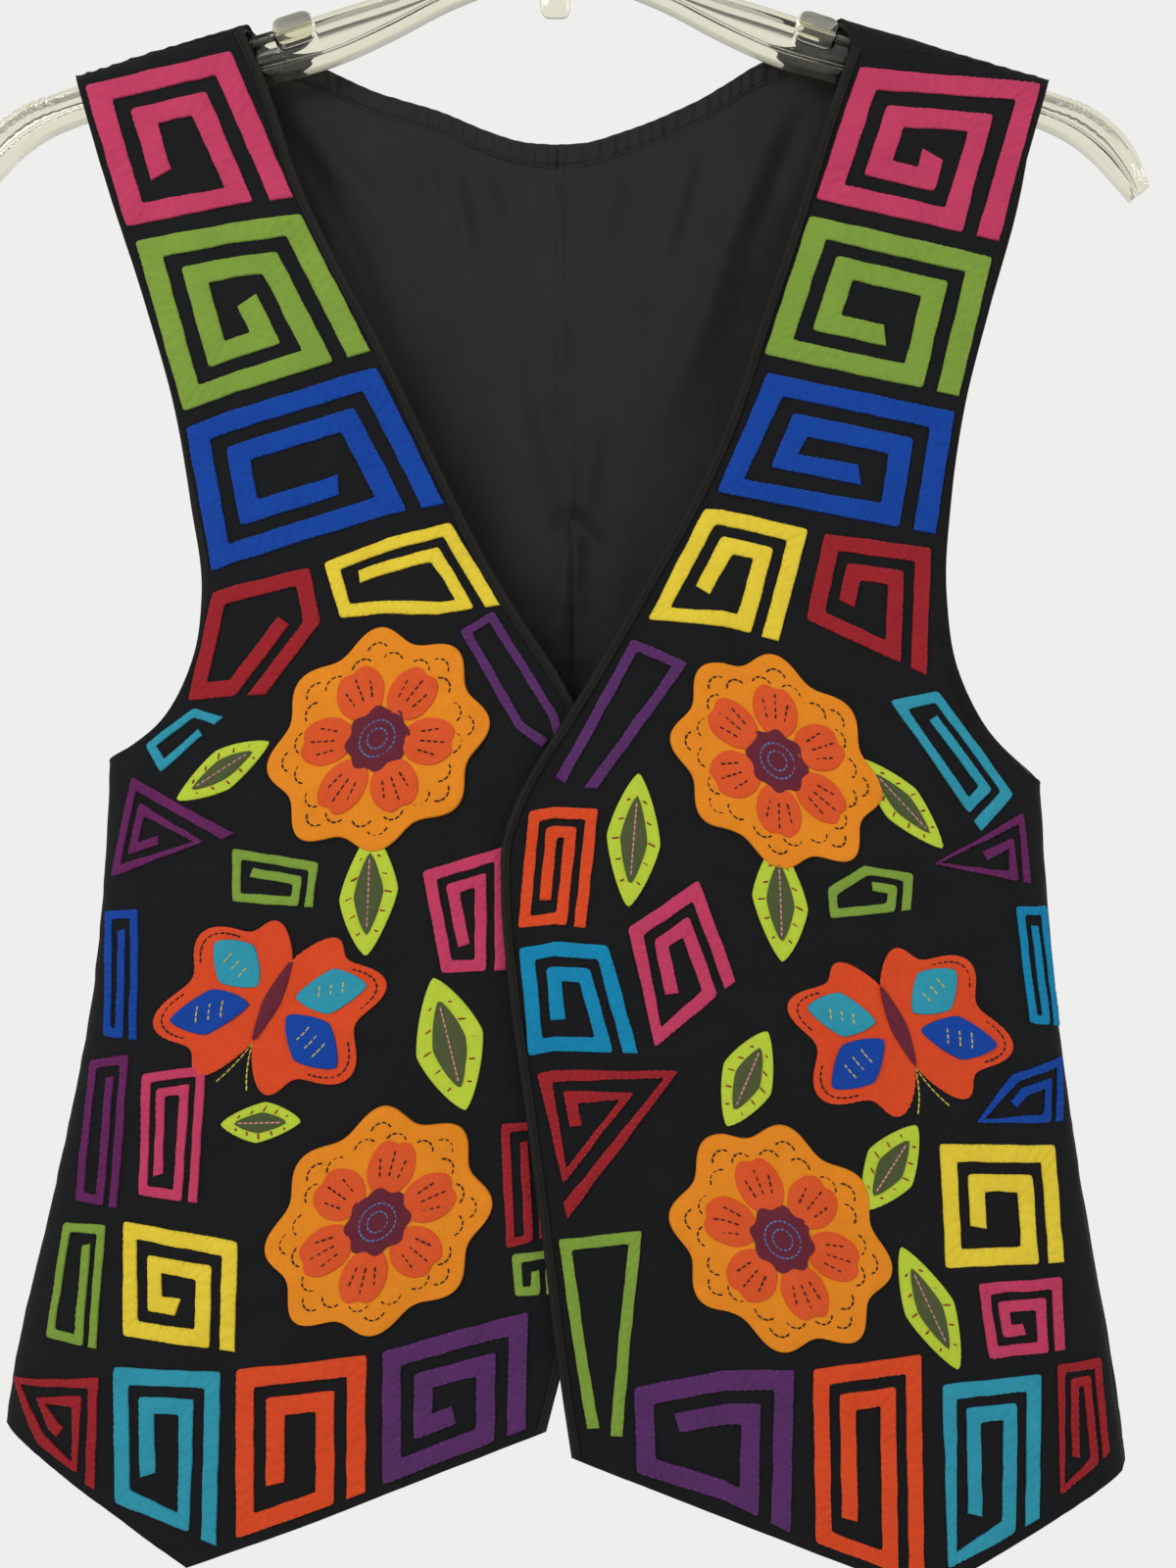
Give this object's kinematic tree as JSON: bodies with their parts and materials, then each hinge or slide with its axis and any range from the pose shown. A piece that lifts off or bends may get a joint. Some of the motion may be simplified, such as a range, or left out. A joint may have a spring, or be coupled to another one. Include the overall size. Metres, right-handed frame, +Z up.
{
  "type": "sleeveless applique vest on a clear hanger",
  "caption": "Open black cotton vest with a deep V neck, pointed front hems and fronts covered in coiled colour bands, flowers and butterflies, hung on a clear plastic hanger by its wire hook",
  "frame": {"origin": "underside of the hook's crown, where it hangs on a rod, on the hanger's centre line", "axes": "+X is the wearer's left and the viewer's right as seen from the front, -Y is the way the fronts face, +Z is up"},
  "size_m": [0.435, 0.0579, 0.6711],
  "materials": {
    "black_cotton": "plain woven cotton, matte",
    "rolled_edge": "bias cotton strip, slight sheen",
    "back_cloth": "plain woven cotton, matte",
    "lining_cloth": "smooth lining cloth, soft sheen",
    "pink": "plain woven cotton, turned under and hand stitched",
    "green": "plain woven cotton, turned under and hand stitched",
    "blue": "plain woven cotton, turned under and hand stitched",
    "yellow": "plain woven cotton, turned under and hand stitched",
    "red": "plain woven cotton, turned under and hand stitched",
    "purple": "plain woven cotton, turned under and hand stitched",
    "plum": "plain woven cotton, turned under and hand stitched",
    "teal": "plain woven cotton, turned under and hand stitched",
    "cyan": "plain woven cotton, turned under and hand stitched",
    "orange": "plain woven cotton, turned under and hand stitched",
    "amber": "plain woven cotton, turned under and hand stitched",
    "lime": "plain woven cotton, turned under and hand stitched",
    "clear_plastic": "injection moulded clear plastic",
    "chrome_wire": "plated steel wire"
  },
  "bodies": {
    "root": {"front_left": "black_cotton", "front_right": "black_cotton", "back_left": "back_cloth", "back_right": "back_cloth", "lining_left": "lining_cloth", "lining_right": "lining_cloth", "edge_left": "rolled_edge", "edge_right": "rolled_edge", "strap_pink_right": "pink", "strap_green_right": "green", "strap_blue_right": "blue", "chest_red_right": "red", "chest_yellow_right": "yellow", "chest_purple_right": "purple", "side_teal_right": "teal", "side_plum_right": "plum", "middle_green_right": "green", "middle_pink_right": "pink", "side_blue_right": "blue", "side_plum_lower_right": "plum", "side_green_right": "green", "middle_yellow_right": "yellow", "hem_red_right": "red", "hem_teal_right": "teal", "hem_orange_right": "orange", "hem_purple_right": "purple", "flower_upper_right": "amber", "flower_lower_right": "amber", "butterfly_right": "orange", "leaf_upper_right": "lime", "leaf_lower_right": "lime", "strap_pink_left": "pink", "strap_green_left": "green", "strap_blue_left": "blue", "chest_yellow_left": "yellow", "chest_red_left": "red", "chest_purple_left": "purple", "side_teal_left": "teal", "side_plum_left": "plum", "middle_green_left": "green", "centre_orange_left": "orange", "middle_pink_left": "pink", "centre_cyan_left": "cyan", "centre_red_left": "red", "centre_green_left": "green", "middle_yellow_left": "yellow", "hem_purple_left": "purple", "hem_orange_left": "orange", "hem_teal_left": "teal", "hem_red_left": "red", "flower_upper_left": "amber", "flower_lower_left": "amber", "butterfly_left": "orange", "leaf_upper_left": "lime", "leaf_lower_left": "lime", "leaf_middle_left": "lime", "hanger": "clear_plastic", "hook": "chrome_wire"}
  },
  "joints": []
}
